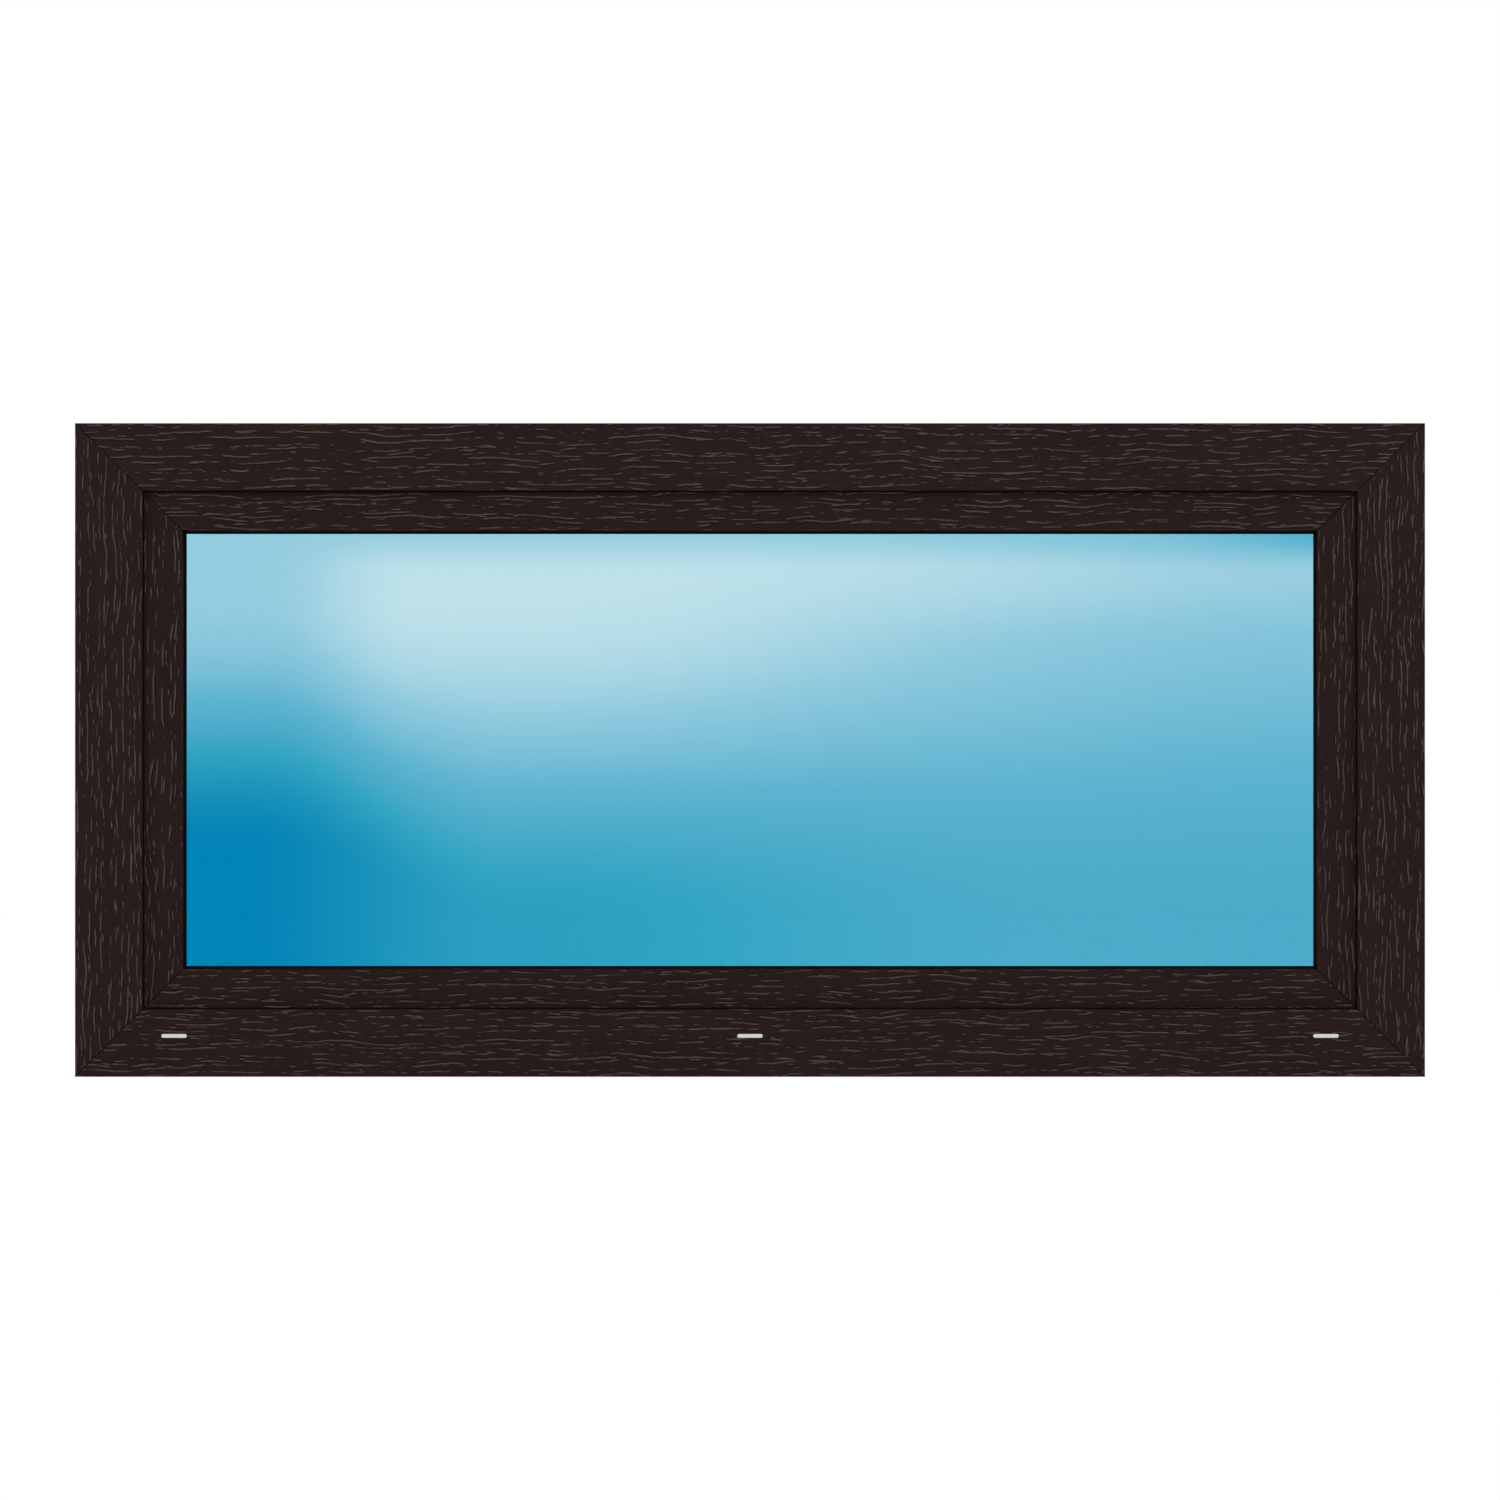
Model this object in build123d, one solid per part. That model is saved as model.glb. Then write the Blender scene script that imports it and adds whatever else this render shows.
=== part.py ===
# A single sash window of extruded plastic profiles, closed, with a bottom-hung tilting sash.
# The fixed frame and the sash are each four mitred hollow profiles, welded at the corners.
# A 24 mm sealed double pane sits on packers in the sash, held by beads clipped in from the inside.
#
# Every profile section is drawn with two coordinates:
#   depth, measured inwards from the frame's outside face (the outdoor side looks along +Y)
#   rise, measured from the frame's outer perimeter towards the glass
# X runs along the sill, Y from outdoors to indoors, Z upwards.
# The origin is the middle of the sill's underside, half way through the frame's depth.
import os

from build123d import *

# Whole window
window_width = 1390.0
window_height = 673.0

# Fixed frame profile
frame_depth = 70.0
frame_leg_rise = 69.4       # top of the outer leg, which laps over the sash
frame_leg_depth = 9.0
frame_rebate_rise = 50.0    # floor that the closed sash stands clear of
frame_channel_rise = 48.0   # lowest line of that floor, beside the leg, where water collects
outer_wall = 2.8
web_wall = 1.4

# Sash profile
sash_setback = 12.0         # sash's outside face behind the frame's outside face
sash_inside = 82.0          # depth of the sash's inside face
sash_body_rise = 62.0       # underside of the sash body
sash_flange_rise = 42.0     # edge of the flange that laps over the frame indoors
sash_flange_depth = 73.5    # face of that flange that looks at the frame
glass_floor_rise = 91.0     # floor of the glazing rebate
sash_leg_rise = 110.2       # front corner of the sash leg, a little lower so that water runs off
sightline_rise = 111.1      # top of the sash leg and of the bead, where the gasket starts
daylight_rise = 113.6       # edge of the visible glass

# Sealed unit: two panes with a gap
pane_thickness = 4.0
pane_gap = 16.0
pane_outside = 33.0         # depth of the outer pane's outdoor face
glass_edge_rise = 96.0      # edge of the panes, one packer above the rebate floor
spacer_rise = 100.5         # underside of the spacer bars
spacer_height = 7.0

# Seals, drawn to touch what they press on, and the T-shaped grooves that hold them
seal_mouth = 3.0
seal_lip = 1.2
seal_undercut = 1.0
seal_reach = 3.6
seal_slack = 0.4            # a seal's foot is this much smaller than its groove
stop_seal_rise = 64.5       # in the frame's leg, against the sash
stop_seal_tip_rise = 71.1
overlap_seal_rise = 47.5    # in the sash's flange, against the frame
glass_seal_rise = 106.0     # in the sash's leg and in the bead, against the glass
glass_seal_foot_rise = 102.5
glass_seal_gap = 3.5        # between either of them and the glass

# Clip grooves in the frame's outer perimeter, for the lugs and sills it is fixed with
clip_mouth = 6.0
clip_lip = 1.5
clip_undercut = 1.5
clip_reach = 5.0
outer_clip_depth = 12.0
inner_clip_depth = 52.0

# Bead groove in the sash
bead_mouth_low = 62.2
bead_mouth_high = 66.0
bead_groove_back = 61.0
bead_groove_floor = 84.5
bead_groove_lip = 89.0

# Drain slots in the sill's outside face, each with a light cap
drain_slot_width = 23.6
drain_slot_height = 3.0
drain_cap_width = 26.3
drain_cap_height = 4.0
drain_cap_proud = 1.3
drain_cap_bevel = 0.5
drain_tongue_width = 18.8   # of the two clip tongues behind the cap
drain_tongue_length = 4.0
drain_tongue_gap = 1.6      # water comes out between them
drain_mouth_width = 12.0    # and leaves through this recess in the plate's underside
drain_rise = 42.1
drain_from_side = 102.0
floor_slot_width = 26.0
floor_slot_height = 4.0
floor_slot_from_leg = 0.6
floor_slot_shift = 70.0     # rebate slots stand beside the face slots, never in line with them

# Packers under, over and beside the panes, two on each side
packer_length = 100.0
packer_from_corner = 60.0
packer_lap = 1.0            # past each face of the sealed unit

# Lever handle on the top rail, indoors; closed, the lever lies along the rail
handle_rise = 75.0
rose_width = 66.0
rose_height = 29.0
rose_thickness = 11.0
rose_corner = 7.0
rose_bevel = 1.5
collar_radius = 11.0
collar_thickness = 4.0
collar_bevel = 0.8
lever_reach = 122.0
lever_stand_off = 33.0      # sash face to the lever's near side
lever_thickness = 11.0
lever_height = 19.0
lever_bevel = 3.0           # on the four corners of its section
lever_bend = 15.0           # radius of the bend, to the section's middle
lever_end_bevel = 2.0

# Hinges along the bottom rail, indoors
hinge_from_side = 190.0
hinge_length = 64.0
hinge_knuckle_radius = 6.5
hinge_pin_radius = 3.0
hinge_axis_depth = 89.5
hinge_axis_rise = 38.0
hinge_leaf_thickness = 3.0
hinge_leaf_corner = 3.0
hinge_frame_leaf_low = 8.0
hinge_frame_leaf_high = 35.0
hinge_sash_leaf_low = 47.0
hinge_sash_leaf_high = 68.0
knuckle_play = 0.3
pin_play = 0.05
pin_proud = 1.5             # past each end of the barrel

glass_inner_face = pane_outside + 2 * pane_thickness + pane_gap
sash_leg_inside = pane_outside - glass_seal_gap
bead_back = glass_inner_face + glass_seal_gap
sides = ("bottom", "top", "left", "right")


def closed_face(corners):
    """Face through (depth, rise) or (depth, rise, radius) corners, in order."""
    points = [(c[0], c[1]) for c in corners]
    radii = [c[2] if len(c) > 2 else 0.0 for c in corners]
    return make_face(FilletPolyline(*points, radius=radii, close=True))


def hollowed(outer, chambers):
    """Profile section: the outer outline less its closed chambers."""
    section = closed_face(outer)
    for chamber in chambers:
        section -= closed_face(chamber)
    return section


def seal_groove(face_depth, rise, inwards, slack=0.0):
    """Corners of a T-shaped groove in a face, met going up for inwards -1 and going down for 1.

    With slack, they are the corners of the seal's foot in that groove.
    """
    lip_depth = face_depth + inwards * (seal_lip + slack / 2)
    back_depth = face_depth + inwards * (seal_reach - slack)
    neck = inwards * (seal_mouth / 2 - slack)
    head = inwards * (seal_mouth / 2 + seal_undercut - slack)
    return [
        (face_depth, rise + neck), (lip_depth, rise + neck), (lip_depth, rise + head),
        (back_depth, rise + head), (back_depth, rise - head), (lip_depth, rise - head),
        (lip_depth, rise - neck), (face_depth, rise - neck),
    ]


def clip_groove(low):
    """Corners of an undercut groove in the frame's perimeter, met going inwards from one depth."""
    high = low + clip_mouth
    return [
        (low, 0.0), (low, clip_lip), (low - clip_undercut, clip_lip), (low - clip_undercut, clip_reach),
        (high + clip_undercut, clip_reach), (high + clip_undercut, clip_lip), (high, clip_lip),
        (high, 0.0),
    ]


def frame_section():
    """Fixed frame: outer leg, sloped rebate floor with striker groove, inner face, six chambers."""
    striker_low, striker_high, striker_drop = 38.0, 50.0, 3.0
    first_web, second_web, third_web, fourth_web = 13.8, 22.4, 46.2, 57.0
    outer = [
        (0.0, 0.0, 1.0),
        *clip_groove(outer_clip_depth),
        *clip_groove(inner_clip_depth),
        (frame_depth, 0.0, 1.0),
        (frame_depth, frame_rebate_rise, 1.5),
        (striker_high, frame_rebate_rise),
        (striker_high, frame_rebate_rise - striker_drop),
        (striker_low, frame_rebate_rise - striker_drop),
        (striker_low, frame_rebate_rise),
        (frame_leg_depth, frame_channel_rise, 1.5),
        *seal_groove(frame_leg_depth, stop_seal_rise, -1),
        (frame_leg_depth, frame_leg_rise, 1.0),
        (0.0, frame_leg_rise, 1.2),
    ]
    fall = (frame_rebate_rise - frame_channel_rise) / (striker_low - frame_leg_depth)
    under_channel = frame_channel_rise - outer_wall
    under_first_web = under_channel + fall * (first_web - frame_leg_depth)
    under_second_web = under_channel + fall * (second_web - frame_leg_depth)
    under_striker = frame_rebate_rise - striker_drop - outer_wall
    under_seal = stop_seal_rise - seal_mouth / 2 - seal_undercut - outer_wall
    over_clip = clip_reach + outer_wall
    before_outer_clip = outer_clip_depth - clip_undercut - outer_wall
    past_inner_clip = inner_clip_depth + clip_mouth + clip_undercut + outer_wall
    leg_wall = frame_leg_depth - outer_wall
    inner_wall = frame_depth - outer_wall
    drain_chamber = [
        (outer_wall, outer_wall), (before_outer_clip, outer_wall), (before_outer_clip, over_clip),
        (first_web, over_clip), (first_web, under_first_web), (outer_wall, under_channel),
    ]
    leg_chamber = [
        (outer_wall, frame_channel_rise), (leg_wall, frame_channel_rise), (leg_wall, under_seal),
        (outer_wall, under_seal),
    ]
    second_chamber = [
        (first_web + web_wall, over_clip), (second_web, over_clip), (second_web, under_second_web),
        (first_web + web_wall, under_first_web),
    ]
    steel_chamber = [
        (second_web + web_wall, outer_wall), (third_web, outer_wall), (third_web, under_striker),
        (second_web + web_wall, under_striker),
    ]
    fourth_chamber = [
        (third_web + web_wall, over_clip), (fourth_web, over_clip), (fourth_web, under_striker),
        (third_web + web_wall, under_striker),
    ]
    inner_chamber = [
        (fourth_web + web_wall, over_clip), (past_inner_clip, over_clip),
        (past_inner_clip, outer_wall), (inner_wall, outer_wall),
        (inner_wall, frame_rebate_rise - outer_wall),
        (fourth_web + web_wall, frame_rebate_rise - outer_wall),
    ]
    chambers = [
        drain_chamber, leg_chamber, second_chamber, steel_chamber, fourth_chamber, inner_chamber,
    ]
    return hollowed(outer, chambers)


def sash_section():
    """Sash: outer leg against the glass, fittings groove, inner flange, bead groove, five chambers."""
    groove_low, groove_high = 54.5, 66.5       # mouth of the fittings groove
    groove_lip, groove_undercut, groove_reach = 3.0, 2.0, 9.0
    first_web, second_web, third_web = 24.0, 49.7, 70.0
    fittings_groove = [
        (groove_low, sash_body_rise),
        (groove_low, sash_body_rise + groove_lip),
        (groove_low - groove_undercut, sash_body_rise + groove_lip),
        (groove_low - groove_undercut, sash_body_rise + groove_reach),
        (groove_high + groove_undercut, sash_body_rise + groove_reach),
        (groove_high + groove_undercut, sash_body_rise + groove_lip),
        (groove_high, sash_body_rise + groove_lip),
        (groove_high, sash_body_rise),
    ]
    bead_groove = [
        (bead_mouth_high, glass_floor_rise), (bead_mouth_high, bead_groove_floor),
        (bead_groove_back, bead_groove_floor), (bead_groove_back, bead_groove_lip),
        (bead_mouth_low, bead_groove_lip), (bead_mouth_low, glass_floor_rise),
    ]
    outer = [
        (sash_setback, sash_body_rise, 1.5),
        *fittings_groove,
        (sash_flange_depth, sash_body_rise, 1.0),
        *seal_groove(sash_flange_depth, overlap_seal_rise, 1),
        (sash_flange_depth, sash_flange_rise, 1.0),
        (sash_inside, sash_flange_rise, 2.5),
        (sash_inside, glass_floor_rise, 0.5),
        *bead_groove,
        (sash_leg_inside, glass_floor_rise, 1.0),
        *seal_groove(sash_leg_inside, glass_seal_rise, -1),
        (sash_leg_inside, sightline_rise, 1.0),
        (sash_setback, sash_leg_rise, 1.0),
    ]
    outer_side = sash_setback + outer_wall
    inner_side = sash_inside - outer_wall
    low = sash_body_rise + outer_wall
    high = glass_floor_rise - outer_wall
    over_fittings = sash_body_rise + groove_reach + outer_wall
    half_groove = seal_mouth / 2 + seal_undercut + outer_wall
    beside_groove = sash_leg_inside - seal_reach - outer_wall
    leg_side = sash_leg_inside - outer_wall
    bead_side = bead_groove_back - outer_wall
    flange_side = sash_flange_depth + outer_wall
    outer_chamber = [(outer_side, low), (first_web, low), (first_web, high), (outer_side, high)]
    leg_chamber = [
        (outer_side, high + web_wall), (leg_side, high + web_wall),
        (leg_side, glass_seal_rise - half_groove), (beside_groove, glass_seal_rise - half_groove),
        (beside_groove, sash_leg_rise - outer_wall), (outer_side, sash_leg_rise - outer_wall),
    ]
    steel_chamber = [
        (first_web + web_wall, low), (second_web, low), (second_web, high),
        (first_web + web_wall, high),
    ]
    bead_chamber = [
        (second_web + web_wall, over_fittings), (third_web, over_fittings),
        (third_web, bead_groove_floor - outer_wall), (bead_side, bead_groove_floor - outer_wall),
        (bead_side, high), (second_web + web_wall, high),
    ]
    flange_chamber = [
        (third_web + web_wall, low), (flange_side, low), (flange_side, overlap_seal_rise + half_groove),
        (inner_side, overlap_seal_rise + half_groove), (inner_side, high), (third_web + web_wall, high),
    ]
    return hollowed(outer, [outer_chamber, leg_chamber, steel_chamber, bead_chamber, flange_chamber])


def bead_section():
    """Glazing bead: a foot with a hook in the sash groove, a rounded slope to the room, one chamber."""
    play = 0.4
    hook_low = bead_groove_floor + 1.5
    slope_foot_rise, slope_top_depth = 95.5, 66.0
    outer = [
        (bead_back, glass_floor_rise),
        (bead_mouth_low + play, glass_floor_rise),
        (bead_mouth_low + play, bead_groove_lip - 0.1),
        (bead_groove_back + play, bead_groove_lip - 0.6),
        (bead_groove_back + 2 * play, hook_low),
        (bead_mouth_high - play, hook_low),
        (bead_mouth_high - play, glass_floor_rise),
        (sash_inside, glass_floor_rise, 0.5),
        (sash_inside, slope_foot_rise, 3.5),
        (slope_top_depth, sightline_rise, 2.5),
        (bead_back, sightline_rise, 0.5),
        *seal_groove(bead_back, glass_seal_rise, 1),
    ]
    wall = 1.8
    chamber_side = bead_back + seal_reach + wall
    chamber = [
        (chamber_side, glass_floor_rise + wall), (sash_inside - wall, glass_floor_rise + wall),
        (sash_inside - wall, slope_foot_rise - wall / 2), (chamber_side + 3.0, 105.0),
        (chamber_side, 105.0),
    ]
    return hollowed(outer, [chamber])


def glazing_gasket_section(face_depth, glass_depth, inwards):
    """Gasket between a profile's face and the glass; its soft lip slopes to the daylight edge."""
    foot = seal_groove(face_depth, glass_seal_rise, inwards, seal_slack)[::inwards]
    lip_depth = glass_depth + inwards * 1.6
    return closed_face([
        *foot, (face_depth, glass_seal_foot_rise), (glass_depth, glass_seal_foot_rise),
        (glass_depth, daylight_rise, 0.3), (lip_depth, daylight_rise, 0.6),
        (face_depth, sightline_rise + 0.2),
    ])


def stop_seal_section():
    """Seal in the frame's leg that the sash closes against; its tip shows as the black joint line."""
    return closed_face([
        *seal_groove(frame_leg_depth, stop_seal_rise, -1, seal_slack),
        (frame_leg_depth, stop_seal_tip_rise - 2.9), (10.2, stop_seal_tip_rise, 0.6),
        (sash_setback, stop_seal_tip_rise, 0.4), (sash_setback, stop_seal_rise - 0.5),
        (frame_leg_depth, stop_seal_rise - 1.7),
    ])


def overlap_seal_section():
    """Seal in the sash flange that presses on the frame's inside face."""
    return closed_face([
        *seal_groove(sash_flange_depth, overlap_seal_rise, 1, seal_slack),
        (sash_flange_depth, overlap_seal_rise - 2.9), (frame_depth, overlap_seal_rise - 3.5, 0.4),
        (frame_depth, overlap_seal_rise - 0.5), (sash_flange_depth, overlap_seal_rise + 0.5),
    ])


def spacer_section():
    """Hollow spacer bar between the panes."""
    low_depth = pane_outside + pane_thickness
    high_depth = low_depth + pane_gap
    top = spacer_rise + spacer_height
    outer = [
        (low_depth, spacer_rise), (high_depth, spacer_rise), (high_depth, top), (low_depth, top),
    ]
    wall = 1.0
    hollow = [
        (low_depth + wall, spacer_rise + wall), (high_depth - wall, spacer_rise + wall),
        (high_depth - wall, top - wall), (low_depth + wall, top - wall),
    ]
    return hollowed(outer, [hollow])


def edge_seal_section():
    """Sealant that bonds the two panes outside the spacer bars."""
    low_depth = pane_outside + pane_thickness
    return closed_face([
        (low_depth, glass_edge_rise + 0.5), (low_depth + pane_gap, glass_edge_rise + 0.5),
        (low_depth + pane_gap, spacer_rise), (low_depth, spacer_rise),
    ])


def window_depth_plane():
    """Plane across the window, where a sketch's first coordinate is the depth, its second the rise."""
    return Plane.YZ * Pos(-frame_depth / 2, 0)


def side_length(side):
    """Length of the window's outer edge along one side."""
    return window_width if side in ("bottom", "top") else window_height


def mitred(section, length):
    """Bar of a section along X, its ends cut at 45 degrees towards the window's middle."""
    top = daylight_rise + 20.0                 # past every section
    half = length / 2
    bar = extrude(window_depth_plane() * section, amount=half, both=True)
    wedge_outline = make_face(Polyline(
        (-half, 0), (half, 0), (half - top, top), (-half + top, top), close=True,
    ))
    wedge = extrude(Plane.XZ * wedge_outline, amount=2 * frame_depth, both=True)
    return bar & wedge


def on_side(shape, side):
    """Shape made along the sill, turned to one side of the window."""
    half_width = window_width / 2
    half_height = window_height / 2
    places = {
        "bottom": Pos(0, 0, 0),
        "top": Pos(0, 0, window_height) * Rot(0, 180, 0),
        "left": Pos(-half_width, 0, half_height) * Rot(0, 90, 0),
        "right": Pos(half_width, 0, half_height) * Rot(0, -90, 0),
    }
    return places[side] * shape


def one_solid(shape):
    """The single solid of a shape, or an error that says it came apart."""
    solids = shape.solids()
    if len(solids) != 1:
        raise ValueError(f"expected one solid, found {len(solids)}")
    return solids[0]


def ring(section):
    """Closed ring of one section round all four sides, fused at its corners."""
    parts = [on_side(mitred(section, side_length(side)), side) for side in sides]
    return one_solid(parts[0].fuse(*parts[1:]).clean())


def drain_centres():
    """X of the drain slots: one near each corner and one in the middle."""
    from_middle = window_width / 2 - drain_from_side
    return {"left": -from_middle, "centre": 0.0, "right": from_middle}


def frame_members():
    """The four frame profiles; the sill has drain slots in its face and in its rebate floor."""
    section = frame_section()
    names = {
        "bottom": "frame_sill", "top": "frame_head", "left": "frame_left_jamb",
        "right": "frame_right_jamb",
    }
    members = {}
    for side in sides:
        member = mitred(section, side_length(side))
        if side == "bottom":
            for x in drain_centres().values():
                member -= face_slot(x)
                member -= floor_slot(x + (floor_slot_shift if x <= 0 else -floor_slot_shift))
        members[names[side]] = one_solid(on_side(member, side))
    return members


def face_slot(x):
    """Slot through the sill's outside wall into the drain chamber."""
    outline = Plane.XZ * Pos(x, drain_rise) * SlotOverall(drain_slot_width, drain_slot_height)
    return Pos(0, -frame_depth / 2, 0) * extrude(outline, amount=outer_wall + 0.2, both=True)


def floor_slot(x):
    """Slot through the rebate floor into the drain chamber, beside the outer leg."""
    centre = frame_leg_depth + floor_slot_from_leg + floor_slot_height / 2 - frame_depth / 2
    outline = Pos(x, centre) * SlotOverall(floor_slot_width, floor_slot_height)
    return Pos(0, 0, frame_channel_rise) * extrude(outline, amount=outer_wall + 0.2, both=True)


def drain_cap(x):
    """Light cap in a face slot: a bevelled plate on two clip tongues, open to the drip edge below."""
    plate_outline = Plane.XZ * SlotOverall(drain_cap_width, drain_cap_height)
    plate = extrude(plate_outline, amount=drain_cap_proud)
    plate = chamfer(plate.faces().sort_by(Axis.Y)[0].edges(), drain_cap_bevel)
    middle = drain_tongue_length / 2
    tongues = Pos(0, middle, 0) * Box(drain_tongue_width, drain_tongue_length, drain_slot_height - 0.2)
    way = Pos(0, middle, 0) * Box(drain_tongue_width, drain_tongue_length, drain_tongue_gap)
    mouth_depth = 0.6
    mouth = Pos(0, -mouth_depth / 2, -drain_cap_height / 4) * Box(
        drain_mouth_width, mouth_depth, drain_cap_height / 2 + drain_tongue_gap
    )
    return one_solid(Pos(x, -frame_depth / 2, drain_rise) * (plate + (tongues - way) - mouth))


def sash_members():
    """The four sash profiles."""
    section = sash_section()
    names = {
        "bottom": "sash_bottom_rail", "top": "sash_top_rail", "left": "sash_left_stile",
        "right": "sash_right_stile",
    }
    return {names[s]: one_solid(on_side(mitred(section, side_length(s)), s)) for s in sides}


def glazing_beads():
    """The four beads clipped in from the room."""
    section = bead_section()
    return {
        f"glazing_bead_{s}": one_solid(on_side(mitred(section, side_length(s)), s)) for s in sides
    }


def spacer_bars():
    """The four spacer bars between the panes."""
    section = spacer_section()
    return {
        f"spacer_bar_{s}": one_solid(on_side(mitred(section, side_length(s)), s)) for s in sides
    }


def pane(face_depth):
    """One glass pane with arrised edges, its outdoor face at a given depth."""
    width = window_width - 2 * glass_edge_rise
    height = window_height - 2 * glass_edge_rise
    sheet = Box(width, pane_thickness, height)
    sheet = chamfer(sheet.edges(), 0.4)
    return one_solid(Pos(0, face_depth + pane_thickness / 2 - frame_depth / 2, window_height / 2) * sheet)


def packers():
    """Blocks that carry the panes in the sash, two on each side."""
    low_depth = pane_outside - packer_lap
    high_depth = glass_inner_face + packer_lap
    height = glass_edge_rise - glass_floor_rise
    block = Box(packer_length, high_depth - low_depth, height)
    depth_centre = (low_depth + high_depth - frame_depth) / 2
    block = Pos(0, depth_centre, glass_floor_rise + height / 2) * block
    from_corner = glass_edge_rise + packer_from_corner + packer_length / 2
    placed = []
    for side in sides:
        reach = side_length(side) / 2 - from_corner
        placed += [on_side(Pos(x, 0, 0) * block, side) for x in (-reach, reach)]
    return Compound(children=[one_solid(p) for p in placed])


def lever_arm():
    """Lever of one bevelled section: out of the rose, round a bend and along the rail."""
    middle = lever_stand_off + lever_thickness / 2
    section = chamfer(Rectangle(lever_thickness, lever_height).vertices(), lever_bevel)
    foot = Plane(origin=(0, rose_thickness, 0), x_dir=(1, 0, 0), z_dir=(0, 1, 0))
    neck = extrude(foot * section, amount=middle - lever_bend - rose_thickness)
    bend_start = Plane(origin=(0, middle - lever_bend, 0), x_dir=(1, 0, 0), z_dir=(0, 1, 0))
    bend_axis = Axis((lever_bend, middle - lever_bend, 0), (0, 0, -1))
    bend = revolve(bend_start * section, bend_axis, 90)
    grip_start = Plane(origin=(lever_bend, middle, 0), x_dir=(0, -1, 0), z_dir=(1, 0, 0))
    grip = extrude(grip_start * section, amount=lever_reach - lever_bend)
    arm = neck + bend + grip
    return chamfer(arm.faces().sort_by(Axis.X)[-1].edges(), lever_end_bevel)


def handle_parts():
    """Rose and lever on the top rail; the lever turns on a round collar."""
    base = Pos(0, sash_inside - frame_depth / 2, window_height - handle_rise)
    rose_outline = Plane.XZ * RectangleRounded(rose_width, rose_height, rose_corner)
    rose = extrude(rose_outline, amount=-rose_thickness)
    rose = chamfer(rose.faces().sort_by(Axis.Y)[-1].edges(), rose_bevel)
    collar = extrude(Plane.XZ * Circle(collar_radius), amount=-collar_thickness)
    collar = chamfer(collar.faces().sort_by(Axis.Y)[-1].edges(), collar_bevel)
    lever = lever_arm() + Pos(0, rose_thickness, 0) * collar
    return {
        "handle_rose": one_solid(base * rose),
        "handle_lever": one_solid(base * lever),
    }


def hinge_frame_leaf(half, knuckle, barrel):
    """Leaf on the frame's inside face, rolled into the two outer knuckles."""
    rolled_rise = hinge_axis_rise - hinge_knuckle_radius
    face = frame_depth + hinge_leaf_thickness
    plate = closed_face([
        (frame_depth, hinge_frame_leaf_low), (face, hinge_frame_leaf_low),
        (face, rolled_rise, 2.0), (hinge_axis_depth, rolled_rise),
        (hinge_axis_depth, hinge_frame_leaf_high), (frame_depth, hinge_frame_leaf_high),
    ])
    leaf = extrude(window_depth_plane() * (plate + barrel), amount=half, both=True)
    low_corners = leaf.edges().filter_by(Axis.Y).group_by(Axis.Z)[0]
    leaf = fillet(low_corners, hinge_leaf_corner)
    clear = 2 * hinge_knuckle_radius + 6.0
    middle = Pos(0, hinge_axis_depth - frame_depth / 2, hinge_axis_rise)
    return leaf - middle * Box(2 * (knuckle + knuckle_play), clear, clear)


def hinge_sash_leaf(half, knuckle, barrel):
    """Leaf on the sash's inside face, with a neck down to the middle knuckle."""
    face = sash_inside + hinge_leaf_thickness
    neck_low = hinge_axis_rise + hinge_knuckle_radius - 1.5
    neck_depth = hinge_axis_depth + 2.0
    neck = closed_face([
        (sash_inside, neck_low), (neck_depth, neck_low), (neck_depth, neck_low + 1.0),
        (face, hinge_sash_leaf_low), (face, hinge_sash_leaf_high), (sash_inside, hinge_sash_leaf_high),
    ])
    leaf = extrude(window_depth_plane() * (barrel + neck), amount=knuckle, both=True)
    height = hinge_sash_leaf_high - hinge_sash_leaf_low
    plate = Box(2 * half, hinge_leaf_thickness, height)
    plate = fillet(plate.edges().filter_by(Axis.Y), hinge_leaf_corner)
    depth = sash_inside + (hinge_leaf_thickness - frame_depth) / 2
    return leaf + Pos(0, depth, hinge_sash_leaf_low + height / 2) * plate


def hinge_parts(x, name):
    """Frame leaf, sash leaf and pin of one hinge; its axis runs along the bottom rail."""
    half = hinge_length / 2
    knuckle = hinge_length / 6
    axis = Pos(hinge_axis_depth, hinge_axis_rise)
    barrel = axis * Circle(hinge_knuckle_radius)
    bore = window_depth_plane() * axis * Circle(hinge_pin_radius + pin_play)
    bore = extrude(bore, amount=hinge_length, both=True)
    pin = window_depth_plane() * axis * Circle(hinge_pin_radius)
    pin = extrude(pin, amount=half + pin_proud, both=True)
    move = Pos(x, 0, 0)
    return {
        f"hinge_{name}_frame_leaf": one_solid(move * (hinge_frame_leaf(half, knuckle, barrel) - bore)),
        f"hinge_{name}_sash_leaf": one_solid(move * (hinge_sash_leaf(half, knuckle, barrel) - bore)),
        f"hinge_{name}_pin": one_solid(move * pin),
    }


def window_parts():
    """Every piece of the window, by node name."""
    parts = {}
    parts.update(frame_members())
    parts.update({f"drain_cap_{name}": drain_cap(x) for name, x in drain_centres().items()})
    parts["frame_stop_seal"] = ring(stop_seal_section())
    parts.update(sash_members())
    parts["sash_overlap_seal"] = ring(overlap_seal_section())
    parts["outer_glazing_gasket"] = ring(glazing_gasket_section(sash_leg_inside, pane_outside, -1))
    parts["outer_pane"] = pane(pane_outside)
    parts.update(spacer_bars())
    parts["glass_edge_seal"] = ring(edge_seal_section())
    parts["inner_pane"] = pane(pane_outside + pane_thickness + pane_gap)
    parts["glazing_packers"] = packers()
    parts["inner_glazing_gasket"] = ring(glazing_gasket_section(bead_back, glass_inner_face, 1))
    parts.update(glazing_beads())
    parts.update(handle_parts())
    hinge_x = window_width / 2 - hinge_from_side
    parts.update(hinge_parts(-hinge_x, "left"))
    parts.update(hinge_parts(hinge_x, "right"))
    return parts


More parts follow.
